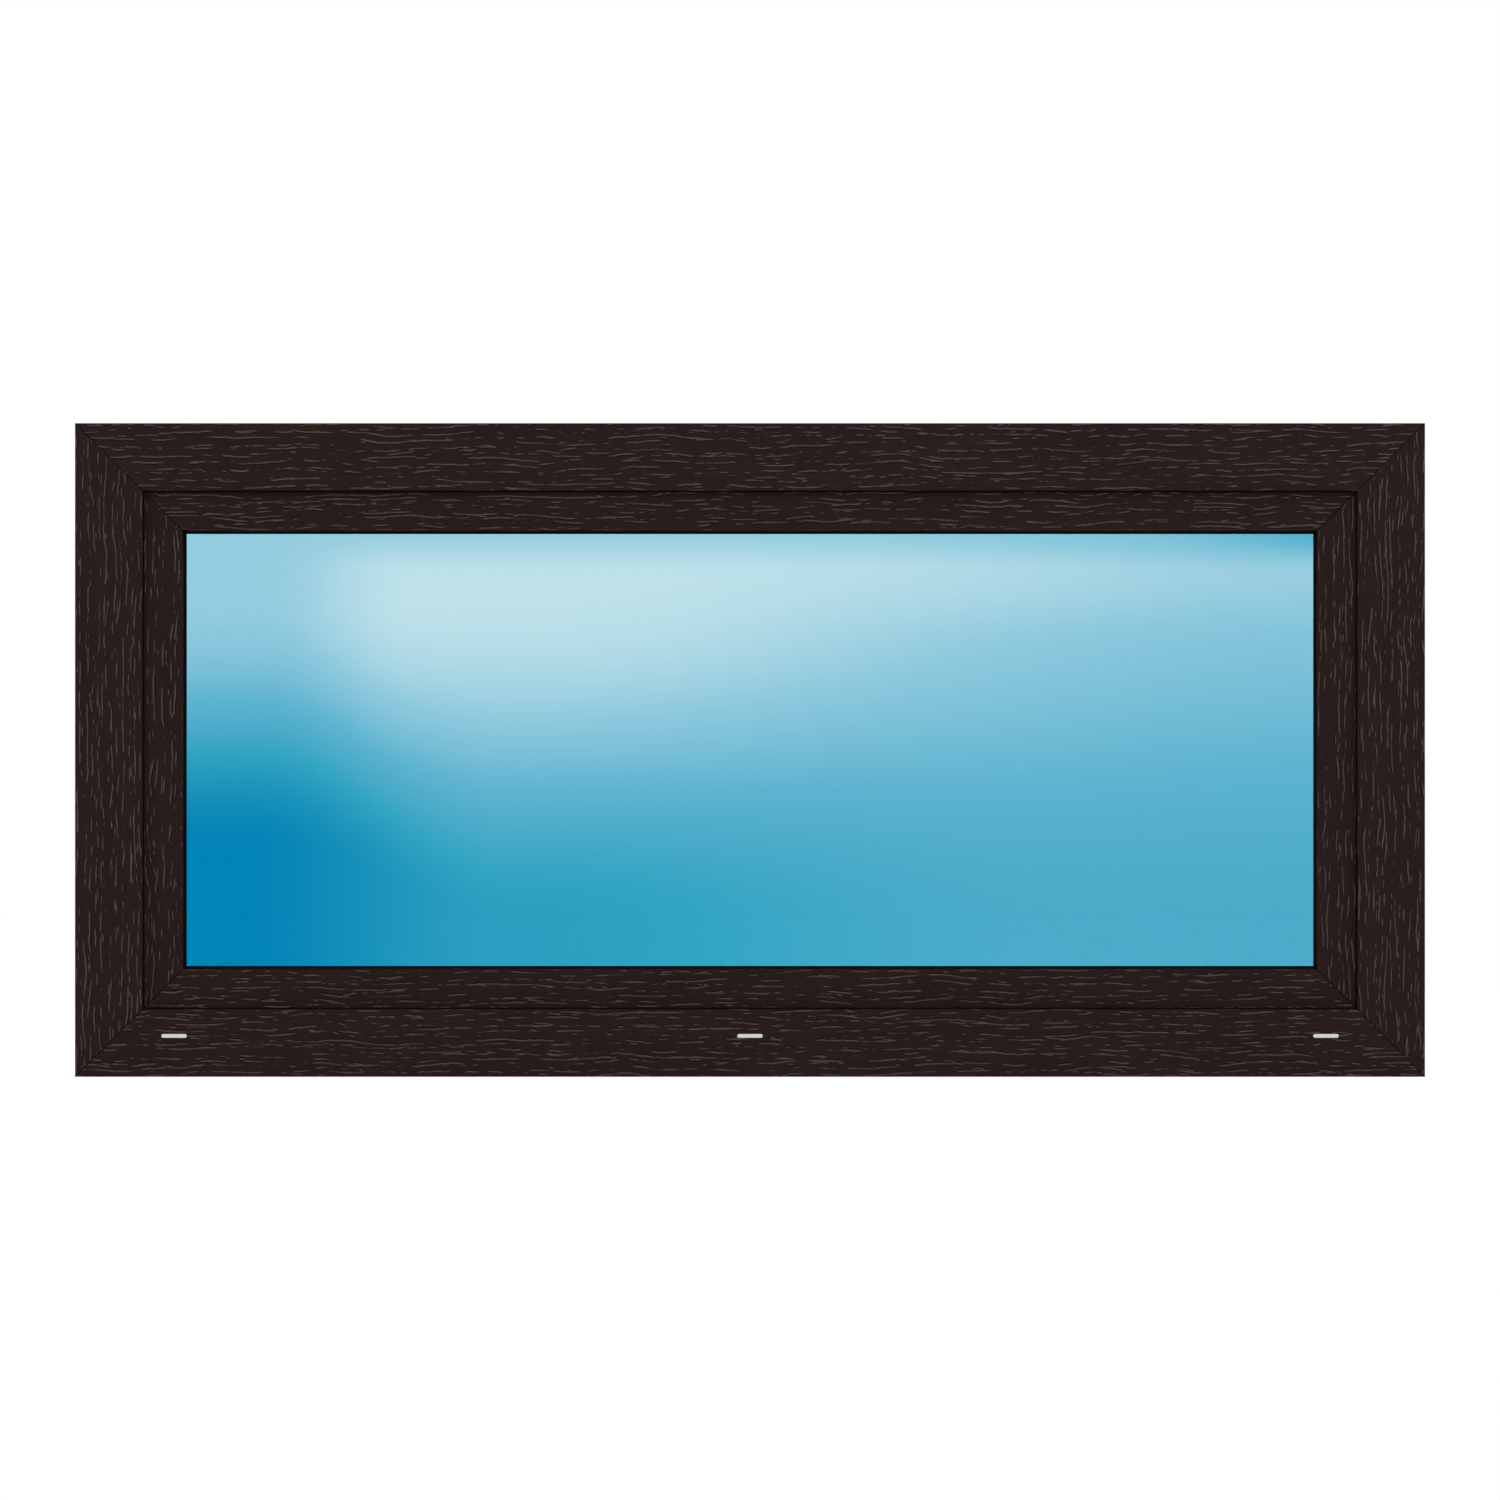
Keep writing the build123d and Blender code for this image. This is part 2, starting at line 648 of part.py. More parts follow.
os.makedirs("parts", exist_ok=True)
for node, shape in window_parts().items():
    export_step(shape, f"parts/{node}.step")
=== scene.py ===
import math

import bmesh
import bpy
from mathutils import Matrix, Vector


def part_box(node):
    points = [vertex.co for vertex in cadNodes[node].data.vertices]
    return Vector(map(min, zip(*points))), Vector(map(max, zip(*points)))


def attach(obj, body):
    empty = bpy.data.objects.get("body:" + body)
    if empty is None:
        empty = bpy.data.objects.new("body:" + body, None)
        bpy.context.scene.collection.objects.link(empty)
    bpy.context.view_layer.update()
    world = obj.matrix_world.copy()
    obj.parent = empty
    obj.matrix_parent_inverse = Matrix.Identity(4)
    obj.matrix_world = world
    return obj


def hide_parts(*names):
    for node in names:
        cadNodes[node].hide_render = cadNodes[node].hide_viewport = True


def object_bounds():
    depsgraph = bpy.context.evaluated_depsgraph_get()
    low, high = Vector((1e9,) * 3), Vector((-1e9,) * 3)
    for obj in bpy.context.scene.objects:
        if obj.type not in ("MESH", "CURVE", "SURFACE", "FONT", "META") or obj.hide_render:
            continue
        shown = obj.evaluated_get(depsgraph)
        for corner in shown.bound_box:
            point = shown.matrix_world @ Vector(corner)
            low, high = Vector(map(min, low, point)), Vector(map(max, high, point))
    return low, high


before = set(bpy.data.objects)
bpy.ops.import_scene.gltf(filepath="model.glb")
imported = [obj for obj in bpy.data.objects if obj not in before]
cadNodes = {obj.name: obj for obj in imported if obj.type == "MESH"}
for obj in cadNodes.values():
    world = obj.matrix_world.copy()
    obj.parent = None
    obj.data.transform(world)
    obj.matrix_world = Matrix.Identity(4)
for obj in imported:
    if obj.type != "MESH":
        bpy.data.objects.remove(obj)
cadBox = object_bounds()
windowWidth = cadBox[1][0] - cadBox[0][0]
windowHeight = cadBox[1][2] - cadBox[0][2]
windowMiddle = Vector((0.0, 0.0, windowHeight / 2))
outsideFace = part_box("frame_sill")[0].y
print("frame loaded:", len(cadNodes), "nodes, window", round(windowWidth, 3), "by", round(windowHeight, 3))


# Small helpers for node trees

def addNode(tree, kind, **settings):
    made = tree.nodes.new(kind)
    for name, value in settings.items():
        setattr(made, name, value)
    return made


def feed(tree, source, socket):  # a socket is linked, anything else is set as the value
    if isinstance(source, bpy.types.NodeSocket):
        tree.links.new(source, socket)
    else:
        socket.default_value = source


def calc(tree, operation, *values, clamp=False):
    made = addNode(tree, "ShaderNodeMath", operation=operation, use_clamp=clamp)
    for value, socket in zip(values, made.inputs):
        feed(tree, value, socket)
    return made.outputs[0]


def fade(tree, value, low, high, atLow=0.0, atHigh=1.0):  # smooth step between two values
    made = addNode(tree, "ShaderNodeMapRange", interpolation_type="SMOOTHSTEP")
    for source, socket in zip((value, low, high, atLow, atHigh), made.inputs):
        feed(tree, source, socket)
    return made.outputs[0]


def blendColour(tree, factor, first, second):
    made = addNode(tree, "ShaderNodeMix", data_type="RGBA", clamp_result=True)
    feed(tree, factor, made.inputs[0])
    feed(tree, first, made.inputs[6])
    feed(tree, second, made.inputs[7])
    return made.outputs[2]


def scaleColour(tree, colour, factor):
    made = addNode(tree, "ShaderNodeVectorMath", operation="SCALE")
    feed(tree, colour, made.inputs[0])
    feed(tree, factor, made.inputs["Scale"])
    return made.outputs[0]


def vectorOf(tree, x, y, z):
    made = addNode(tree, "ShaderNodeCombineXYZ")
    for value, socket in zip((x, y, z), made.inputs):
        feed(tree, value, socket)
    return made.outputs[0]


def splitVector(tree, vector):
    made = addNode(tree, "ShaderNodeSeparateXYZ")
    feed(tree, vector, made.inputs[0])
    return made.outputs


def noiseOf(tree, vector, scale, detail=2.0):
    made = addNode(tree, "ShaderNodeTexNoise")
    feed(tree, vector, made.inputs["Vector"])
    feed(tree, scale, made.inputs["Scale"])
    made.inputs["Detail"].default_value = detail
    return made.outputs["Fac"]


def bumpFrom(tree, height, depth):
    made = addNode(tree, "ShaderNodeBump")
    made.inputs["Distance"].default_value = depth
    feed(tree, height, made.inputs["Height"])
    return made.outputs[0]


def makeGroup(name, inputs, outputs):
    tree = bpy.data.node_groups.new(name, "ShaderNodeTree")
    for label, kind, value in inputs:
        socket = tree.interface.new_socket(label, in_out="INPUT", socket_type="NodeSocket" + kind)
        if value is not None:
            socket.default_value = value
    for label, kind in outputs:
        tree.interface.new_socket(label, in_out="OUTPUT", socket_type="NodeSocket" + kind)
    given = tree.nodes.new("NodeGroupInput").outputs
    result = tree.nodes.new("NodeGroupOutput").inputs
    return tree, given, result


def placeGroup(tree, group, **values):
    made = addNode(tree, "ShaderNodeGroup", node_tree=group)
    for label, value in values.items():
        feed(tree, value, made.inputs[label])
    return made.outputs


def fromScreen(red, green, blue):  # a colour as seen on a screen, 0 to 255, made linear
    def channel(value):
        value /= 255.0
        return value / 12.92 if value <= 0.04045 else ((value + 0.055) / 1.055) ** 2.4
    return (channel(red), channel(green), channel(blue), 1.0)


def startMaterial(name):
    material = bpy.data.materials.new(name)
    material.use_nodes = True
    tree = material.node_tree
    tree.nodes.clear()
    shader = tree.nodes.new("ShaderNodeBsdfPrincipled")
    output = tree.nodes.new("ShaderNodeOutputMaterial")
    tree.links.new(shader.outputs[0], output.inputs["Surface"])
    place = tree.nodes.new("ShaderNodeTexCoord").outputs["Object"]
    return material, tree, shader.inputs, place


# Effects shared by several materials

grain = {
    "layers": (
        dict(Pitch=0.0066, Length=0.027, Width=0.0013, Slant=0.010, Seed=1.0, Cover=0.52),
        dict(Pitch=0.0093, Length=0.011, Width=0.0012, Slant=-0.030, Seed=2.0, Cover=0.48),
    ),
    "flow": (13.0, 0.016),         # waves for each metre along the grain, and their swing
    "ripple": (110.0, 0.0021),
    "play": 0.6,                   # share of the pitch in which a stroke may lie
    "seedStep": 5.37,              # keeps the layers apart
    "rowStep": 3.71,               # this and rowShift keep neighbouring rows from looking the same
    "rowShift": 71.0,
    "endFade": 0.045,
    "taper": (0.10, 0.35),         # how far a stroke thins towards its ends, and down to what share
    "lineEdge": (0.25, 0.75),      # a stroke fades out between these shares of its width
    "fading": (60.0, 0.55),        # scale of the patches of weaker strokes, and the weakest
    "cloud": (45.0, 0.15, 0.07),   # scale, stretch along the grain, and spread in tone
    "roughness": (0.85, 0.1),      # of the plain foil, and what a pore adds
    "between": (0.3, 0.7),         # noise values that count as lowest and highest
}


def waveOf(tree, place, scale, swing):
    return calc(tree, "MULTIPLY", calc(tree, "SUBTRACT", noiseOf(tree, place, scale, 1.0), 0.5), swing)


def makePoreStrokes():
    tree, given, result = makeGroup("poreStrokes", [
        ("Along", "Float", None), ("Across", "Float", None), ("Pitch", "Float", 0.005),
        ("Length", "Float", 0.02), ("Width", "Float", 0.0012), ("Slant", "Float", 0.0),
        ("Seed", "Float", 0.0), ("Cover", "Float", 0.5),
    ], [("Mask", "Float"), ("Shade", "Float")])
    along = given["Along"]
    seeded = calc(tree, "MULTIPLY", given["Seed"], grain["seedStep"])
    place = vectorOf(tree, along, given["Across"], seeded)
    flow = waveOf(tree, place, *grain["flow"])
    ripple = waveOf(tree, place, *grain["ripple"])
    leaned = calc(tree, "MULTIPLY_ADD", along, given["Slant"], given["Across"])
    across = calc(tree, "ADD", calc(tree, "ADD", leaned, flow), ripple)

    rows = calc(tree, "DIVIDE", across, given["Pitch"])
    row = calc(tree, "FLOOR", rows)
    rowLot = addNode(tree, "ShaderNodeTexWhiteNoise", noise_dimensions="1D")
    feed(tree, calc(tree, "ADD", row, seeded), rowLot.inputs["W"])
    lot = rowLot.outputs["Value"]
    centre = calc(tree, "MULTIPLY_ADD", lot, grain["play"], (1.0 - grain["play"]) / 2)

    steps = calc(tree, "MULTIPLY_ADD", lot, grain["rowShift"], calc(tree, "DIVIDE", along, given["Length"]))
    dashPlace = vectorOf(tree, steps, calc(tree, "MULTIPLY_ADD", row, grain["rowStep"], seeded), 0.0)
    dashes = noiseOf(tree, dashPlace, 1.0, 1.5)
    edge = calc(tree, "SUBTRACT", 1.0, given["Cover"])
    dash = fade(tree, dashes, edge, calc(tree, "ADD", edge, grain["endFade"]))
    reach, least = grain["taper"]
    taper = fade(tree, dashes, edge, calc(tree, "ADD", edge, reach), least, 1.0)
    width = calc(tree, "MULTIPLY", given["Width"], taper)
    inner, outer = (calc(tree, "MULTIPLY", width, share) for share in grain["lineEdge"])
    offCentre = calc(tree, "SUBTRACT", calc(tree, "FRACT", rows), centre)
    offLine = calc(tree, "MULTIPLY", offCentre, given["Pitch"])
    offShade = calc(tree, "ADD", offLine, width)  # a painted shadow lies beside the stroke, as under an embossed pore
    for off, label in ((offLine, "Mask"), (offShade, "Shade")):
        line = fade(tree, calc(tree, "ABSOLUTE", off), inner, outer, 1.0, 0.0)
        feed(tree, calc(tree, "MULTIPLY", line, dash), result[label])
    return tree


def makeWoodFoil(poreStrokes):
    tree, given, result = makeGroup("woodFoil", [
        ("Along", "Float", None), ("Across", "Float", None), ("Base", "Color", None),
        ("Pore", "Color", None), ("Flank", "Float", 0.3),
    ], [("Color", "Color"), ("Roughness", "Float"), ("Height", "Float")])
    along, across = given["Along"], given["Across"]
    pores = shades = 0.0
    for layer in grain["layers"]:
        masks = placeGroup(tree, poreStrokes, Along=along, Across=across, **layer)
        pores = calc(tree, "MAXIMUM", pores, masks["Mask"])
        shades = calc(tree, "MAXIMUM", shades, masks["Shade"])

    fadingScale, weakest = grain["fading"]
    patches = noiseOf(tree, vectorOf(tree, along, across, 0.0), fadingScale)
    pores = calc(tree, "MULTIPLY", pores, fade(tree, patches, *grain["between"], weakest, 1.0))
    cloudScale, stretch, spread = grain["cloud"]
    cloud = noiseOf(tree, vectorOf(tree, calc(tree, "MULTIPLY", along, stretch), across, 0.0), cloudScale)
    tone = fade(tree, cloud, *grain["between"], 1.0 - spread, 1.0 + spread)
    # painted shadow beside each pore stroke darkens the base
    shaded = calc(tree, "SUBTRACT", 1.0, calc(tree, "MULTIPLY", shades, given["Flank"]))
    base = scaleColour(tree, given["Base"], calc(tree, "MULTIPLY", tone, shaded))
    plain, added = grain["roughness"]
    feed(tree, blendColour(tree, pores, base, given["Pore"]), result["Color"])
    feed(tree, calc(tree, "MULTIPLY_ADD", pores, added, plain), result["Roughness"])
    feed(tree, calc(tree, "SUBTRACT", 1.0, pores), result["Height"])
    return tree


def makeMitreSeam():
    tree, given, result = makeGroup("mitreSeam", [
        ("Vector", "Vector", None), ("Half Width", "Float", 0.5), ("Half Height", "Float", 0.5),
        ("Line Width", "Float", 0.001),
    ], [("Mask", "Float")])
    darkShare = 0.3  # of the line's width, fully dark
    place = splitVector(tree, given["Vector"])
    fromSide = calc(tree, "SUBTRACT", given["Half Width"], calc(tree, "ABSOLUTE", place["X"]))
    fromEnd = calc(tree, "SUBTRACT", given["Half Height"], calc(tree, "ABSOLUTE", place["Z"]))
    off = calc(tree, "ABSOLUTE", calc(tree, "SUBTRACT", fromSide, fromEnd))
    dark = calc(tree, "MULTIPLY", given["Line Width"], darkShare)
    feed(tree, fade(tree, off, dark, given["Line Width"], 1.0, 0.0), result["Mask"])
    return tree


def makeFineMottle():
    tree, given, result = makeGroup("fineMottle", [
        ("Vector", "Vector", None), ("Scale", "Float", 400.0), ("Low", "Float", 0.9),
        ("High", "Float", 1.1),
    ], [("Value", "Float")])
    mottle = noiseOf(tree, given["Vector"], given["Scale"], 3.0)
    feed(tree, fade(tree, mottle, *grain["between"], given["Low"], given["High"]), result["Value"])
    return tree


poreStrokes = makePoreStrokes()
woodFoil = makeWoodFoil(poreStrokes)
mitreSeam = makeMitreSeam()
fineMottle = makeFineMottle()
print("shader groups made")


# Dark wood-grain foil on the profiles, its grain along each member

foil = {
    "base": fromScreen(36, 24, 23),
    "pore": fromScreen(77, 65, 63),
    "poreShadow": 0.45,            # painted shadow along the lower side of a pore: how much darker it is
    "seam": fromScreen(12, 7, 6),
    "seamWidth": 0.0011,
    "seamDepth": 2.0,         # in pores' depths
    "specular": 0.05,
    "grainDepth": 0.00012,
    "shift": 3.7,             # keeps facing members from having the same grain
    "coreDepth": 0.035,       # from here the grain wraps round to both faces
}


def makeFoil(name, horizontal):
    material, tree, surface, place = startMaterial(name)
    centred = addNode(tree, "ShaderNodeVectorMath", operation="SUBTRACT")
    feed(tree, place, centred.inputs[0])
    centred.inputs[1].default_value = windowMiddle
    x, depth, z = splitVector(tree, centred.outputs[0])
    run, rise = (x, z) if horizontal else (z, x)
    side = calc(tree, "SIGN", rise)
    along = calc(tree, "MULTIPLY_ADD", side, foil["shift"], run)
    fromCore = calc(tree, "ABSOLUTE", calc(tree, "SUBTRACT", depth, outsideFace + foil["coreDepth"]))
    across = calc(tree, "ADD", calc(tree, "ABSOLUTE", rise), fromCore)
    look = placeGroup(
        tree, woodFoil, Along=along, Across=across, Base=foil["base"], Pore=foil["pore"], Flank=foil["poreShadow"],
    )
    seam = placeGroup(tree, mitreSeam, **{
        "Vector": centred.outputs[0], "Half Width": windowWidth / 2, "Half Height": windowHeight / 2,
        "Line Width": foil["seamWidth"],
    })["Mask"]
    feed(tree, blendColour(tree, seam, look["Color"], foil["seam"]), surface["Base Color"])
    feed(tree, look["Roughness"], surface["Roughness"])
    surface["Specular IOR Level"].default_value = foil["specular"]
    height = calc(tree, "SUBTRACT", look["Height"], calc(tree, "MULTIPLY", seam, foil["seamDepth"]))
    feed(tree, bumpFrom(tree, height, foil["grainDepth"]), surface["Normal"])
    return material


foilAcross = makeFoil("foilAlongRail", True)
foilUpright = makeFoil("foilAlongStile", False)


# Glass: the outer pane's colour is a painted reflection of a blue sky, with a painted highlight, a painted
# streak of light and painted shade along its top; the inner one is clear

glass = {
    "shades": (  # painted sky reflection, deep to pale, as one scale
        (0.00, fromScreen(0, 134, 186)), (0.10, fromScreen(25, 148, 190)),
        (0.25, fromScreen(51, 166, 198)), (0.50, fromScreen(98, 182, 211)),
        (0.75, fromScreen(147, 203, 224)), (1.00, fromScreen(195, 226, 236)),
    ),
    "leftEdge": (-0.50, -0.35),      # where the duller strip of the painted reflection at the left ends
    # painted highlight: the top of the glass is brightest in the middle
    "upper": {"left": 0.78, "paintedHighlight": 1.0, "right": 0.76, "from": -0.10, "to": 0.62},
    "footLeft": {"from": -0.53, "to": -0.24, "rise": 0.21},
    "footRight": {"from": -0.25, "to": 0.32, "rise": 0.16},
    "fallTop": {"from": -0.25, "to": 0.30, "left": 0.155, "right": 0.245},
    "fallFoot": {"from": -0.50, "to": -0.25, "left": -0.10, "right": -0.18},
    # a painted streak of light over the upper glass, towards the right
    "paintedStreak": {"from": 0.11, "to": 0.175, "start": -0.05, "end": 0.30, "rise": 0.06},
    # painted shade along the top of the glass, deeper towards the right corner
    "headShade": {"from": 0.182, "to": 0.225, "drop": 0.20, "corner": (0.38, 0.66), "cornerDrop": 0.40},
    "ior": 1.17,
    "paintedSkyTint": (0.1, 0.85, 1.0, 1.0),   # painted sky colour: the white studio mirrors in the glass as blue
    "innerIor": 1.4,
    "innerTint": fromScreen(250, 254, 253),
}


def paintedSkyReflection(tree, place):  # painted sky reflection: 0 is the deep blue at the lower left, 1 the bright painted highlight near the top
    spot = splitVector(tree, place)
    x = spot["X"]
    z = calc(tree, "SUBTRACT", spot["Z"], windowHeight / 2)
    inside = fade(tree, x, *glass["leftEdge"])
    top = glass["upper"]
    paintedHighlight = fade(tree, x, top["from"], top["to"], top["paintedHighlight"] - top["left"], top["right"] - top["left"])
    upper = calc(tree, "MULTIPLY_ADD", inside, paintedHighlight, top["left"])
    footLeft, footRight = glass["footLeft"], glass["footRight"]
    lower = calc(
        tree, "ADD", fade(tree, x, footLeft["from"], footLeft["to"], 0.0, footLeft["rise"]),
        fade(tree, x, footRight["from"], footRight["to"], 0.0, footRight["rise"]),
    )
    fallTop, fallFoot, head = glass["fallTop"], glass["fallFoot"], glass["headShade"]
    high = fade(tree, x, fallTop["from"], fallTop["to"], fallTop["left"], fallTop["right"])
    low = fade(tree, x, fallFoot["from"], fallFoot["to"], fallFoot["left"], fallFoot["right"])
    bright = fade(tree, z, low, high)
    body = calc(tree, "MULTIPLY_ADD", bright, calc(tree, "SUBTRACT", upper, lower), lower)
    # painted shade along the top of the glass
    drop = fade(tree, x, *head["corner"], head["drop"], head["cornerDrop"])
    shade = calc(tree, "MULTIPLY", fade(tree, z, head["from"], head["to"]), drop)
    headShade = calc(tree, "MULTIPLY", shade, inside)
    # a painted streak of light over the upper glass
    paintedStreak = glass["paintedStreak"]
    band = fade(tree, z, paintedStreak["from"], paintedStreak["to"], 0.0, paintedStreak["rise"])
    paintedLightStreak = calc(tree, "MULTIPLY", band, fade(tree, x, paintedStreak["start"], paintedStreak["end"]))
    return calc(tree, "SUBTRACT", calc(tree, "ADD", body, paintedLightStreak), headShade, clamp=True)


def startGlass(name, ior):
    material, tree, surface, place = startMaterial(name)
    surface["Roughness"].default_value = 0.0
    surface["IOR"].default_value = ior
    surface["Transmission Weight"].default_value = 1.0
    return material, tree, surface, place


def makeOuterGlass():
    material, tree, surface, place = startGlass("outerGlass", glass["ior"])
    ramp = addNode(tree, "ShaderNodeValToRGB")
    stops = ramp.color_ramp.elements
    while len(stops) < len(glass["shades"]):
        stops.new(0.5)
    for stop, (position, colour) in zip(stops, glass["shades"]):
        stop.position = position
        stop.color = colour
    # the base colour is the painted sky reflection
    feed(tree, paintedSkyReflection(tree, place), ramp.inputs[0])
    feed(tree, ramp.outputs["Color"], surface["Base Color"])
    # painted sky colour in the glass's reflections
    surface["Specular Tint"].default_value = glass["paintedSkyTint"]
    return material


def makeInnerGlass():
    material, _, surface, _ = startGlass("innerGlass", glass["innerIor"])
    surface["Base Color"].default_value = glass["innerTint"]
    return material


outerGlass = makeOuterGlass()
innerGlass = makeInnerGlass()


# Plain finishes: seals, drain caps, handle, hinges, spacer bars and packers

def makePlain(name, colour, roughness, specular=0.3, metal=0.0, mottle=600.0, spread=0.05, depth=0.00002):
    material, tree, surface, place = startMaterial(name)
    low, high = 1.0 - spread, 1.0 + spread
    value = placeGroup(tree, fineMottle, Vector=place, Scale=mottle, Low=low, High=high)["Value"]
    feed(tree, scaleColour(tree, colour[:3], value), surface["Base Color"])
    feed(tree, calc(tree, "MULTIPLY", value, roughness, clamp=True), surface["Roughness"])
    surface["Metallic"].default_value = metal
    surface["Specular IOR Level"].default_value = specular
    feed(tree, bumpFrom(tree, value, depth), surface["Normal"])
    return material


plainFinishes = {
    "sealRubber": dict(
        colour=fromScreen(9, 7, 8), roughness=0.85, specular=0.04, mottle=900.0, spread=0.15, depth=0.00003,
    ),
    "capPlastic": dict(colour=fromScreen(199, 199, 199), roughness=0.45, spread=0.02),
    "anodised": dict(
        colour=fromScreen(188, 190, 192), roughness=0.33, metal=1.0, mottle=1500.0, depth=0.000008,
    ),
    "powderCoat": dict(colour=fromScreen(44, 33, 32), roughness=0.5, mottle=1100.0, depth=0.00005),
    "pinSteel": dict(colour=fromScreen(170, 170, 172), roughness=0.25, metal=1.0),
    "spacerMetal": dict(colour=fromScreen(176, 178, 180), roughness=0.38, metal=1.0),
    "packerPlastic": dict(colour=fromScreen(30, 62, 120), roughness=0.5),
    # painted shade: the dark of the spacer slots' hollows
    "slotShadow": dict(colour=fromScreen(26, 26, 27), roughness=0.8, specular=0.0),
}
finishes = {name: makePlain(name, **values) for name, values in plainFinishes.items()}
print("materials made:", len(bpy.data.materials))


# Every solid of the frame gets its finish

finishOf = {
    "frame_sill": foilAcross, "frame_head": foilAcross,
    "frame_left_jamb": foilUpright, "frame_right_jamb": foilUpright,
    "sash_bottom_rail": foilAcross, "sash_top_rail": foilAcross,
    "sash_left_stile": foilUpright, "sash_right_stile": foilUpright,
    "glazing_bead_bottom": foilAcross, "glazing_bead_top": foilAcross,
    "glazing_bead_left": foilUpright, "glazing_bead_right": foilUpright,
    "outer_pane": outerGlass, "inner_pane": innerGlass,
    "glazing_packers": finishes["packerPlastic"],
    "handle_rose": finishes["anodised"], "handle_lever": finishes["anodised"],
}
finishByWord = (
    ("seal", finishes["sealRubber"]), ("gasket", finishes["sealRubber"]),
    ("spacer", finishes["spacerMetal"]), ("drain_cap", finishes["capPlastic"]),
    ("pin", finishes["pinSteel"]), ("leaf", finishes["powderCoat"]),
)
for name, node in cadNodes.items():
    finish = finishOf.get(name) or next(m for word, m in finishByWord if word in name)
    node.data.materials.clear()
    node.data.materials.append(finish)
print("finishes placed")


# Mesh helpers for the pieces made here

def stackLoops(verts, faces, loops):  # a closed skin over loops of equal length, capped at both ends
    start, count, last = len(verts), len(loops[0]), len(loops) - 1
    for loop in loops:
        verts.extend(loop)
    for level in range(last):
        low = start + level * count
        for i in range(count):
            j = (i + 1) % count
            faces.append((low + i, low + j, low + count + j, low + count + i))
    faces.append(tuple(start + i for i in reversed(range(count))))
    faces.append(tuple(start + last * count + i for i in range(count)))


def makePiece(name, verts, faces, finish):
    sharpAngle = math.radians(32)
    mesh = bpy.data.meshes.new(name)
    mesh.from_pydata(verts, [], faces)
    shell = bmesh.new()
    shell.from_mesh(mesh)
    bmesh.ops.recalc_face_normals(shell, faces=shell.faces)
    shell.to_mesh(mesh)
    shell.free()
    mesh.shade_smooth()
    mesh.set_sharp_from_angle(angle=sharpAngle)
    mesh.materials.append(finish)
    return dressPiece(name, mesh)


def dressPiece(name, mesh):
    piece = bpy.data.objects.new(name, mesh)
    bpy.context.scene.collection.objects.link(piece)
    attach(piece, "root")
    return piece


def roundedSteps(size, count):  # (along, inwards) steps of a quarter round
    turns = [math.radians(90 * step / count) for step in range(1, count + 1)]
    return [(size * math.sin(turn), size * (1 - math.cos(turn))) for turn in turns]


# Handle: lever, collar and rose as rounded castings

handle = {
    "thickness": 0.011,
    "height": 0.019,
    "bend": 0.015,
    "endThickness": 0.0094,
    "waist": 0.0016,         # the grip is this much lower half way along
    "endRound": 0.0042,
    "neckHeight": 0.0175,
    "squareness": 4.2,
    "points": 44,            # round one section of the lever
    "neckSteps": 4,
    "bendSteps": 14,
    "gripSteps": 16,
    "endSteps": 8,
    "collarHeight": 0.004,
    "collarEdge": 0.0012,
    "collarPoints": 56,
    "collarSteps": 5,
    "roseCorner": 0.007,
    "roseEdge": 0.0024,
    "cornerSteps": 10,
    "roseSteps": 7,
}


def leverLoop(centre, sideways, thickness, height):  # one rounded-square section of the lever
    power = 2.0 / handle["squareness"]
    loop = []
    for i in range(handle["points"]):
        turn = 2 * math.pi * i / handle["points"]
        across = math.copysign(abs(math.cos(turn)) ** power, math.cos(turn)) * thickness / 2
        upward = math.copysign(abs(math.sin(turn)) ** power, math.sin(turn)) * height / 2
        loop.append(centre + sideways * across + Vector((0, 0, upward)))
    return loop


def leverLoops(box, foot):
    middle = (box[0].z + box[1].z) / 2
    bend, thick, tall = handle["bend"], handle["thickness"], handle["height"]
    turnStart = box[1].y - thick / 2 - bend
    across = Vector((1, 0, 0))
    loops = []
    for step in range(handle["neckSteps"] + 1):  # the neck, out of the collar
        share = step / handle["neckSteps"]
        y = foot + (turnStart - foot) * share
        height = handle["neckHeight"] + (tall - handle["neckHeight"]) * share ** 2
        loops.append(leverLoop(Vector((0, y, middle)), across, thick, height))
    for step in range(1, handle["bendSteps"] + 1):
        turn = math.radians(90 * step / handle["bendSteps"])
        centre = Vector((bend - bend * math.cos(turn), turnStart + bend * math.sin(turn), middle))
        loops.append(leverLoop(centre, Vector((math.cos(turn), -math.sin(turn), 0)), thick, tall))
    gripEnd = box[1].x - handle["endRound"]
    for step in range(1, handle["gripSteps"] + 1):  # the grip, thinner towards its end
        share = step / handle["gripSteps"]
        thin = thick + (handle["endThickness"] - thick) * share
        low = tall - handle["waist"] * math.sin(math.pi * share) ** 2
        centre = Vector((bend + (gripEnd - bend) * share, box[1].y - thin / 2, middle))
        loops.append(leverLoop(centre, Vector((0, -1, 0)), thin, low))
    for along, inwards in roundedSteps(handle["endRound"], handle["endSteps"]):
        centre = Vector((gripEnd + along, box[1].y - thin / 2, middle))
        loops.append(leverLoop(centre, Vector((0, -1, 0)), thin - 2 * inwards, tall - 2 * inwards))
    return loops


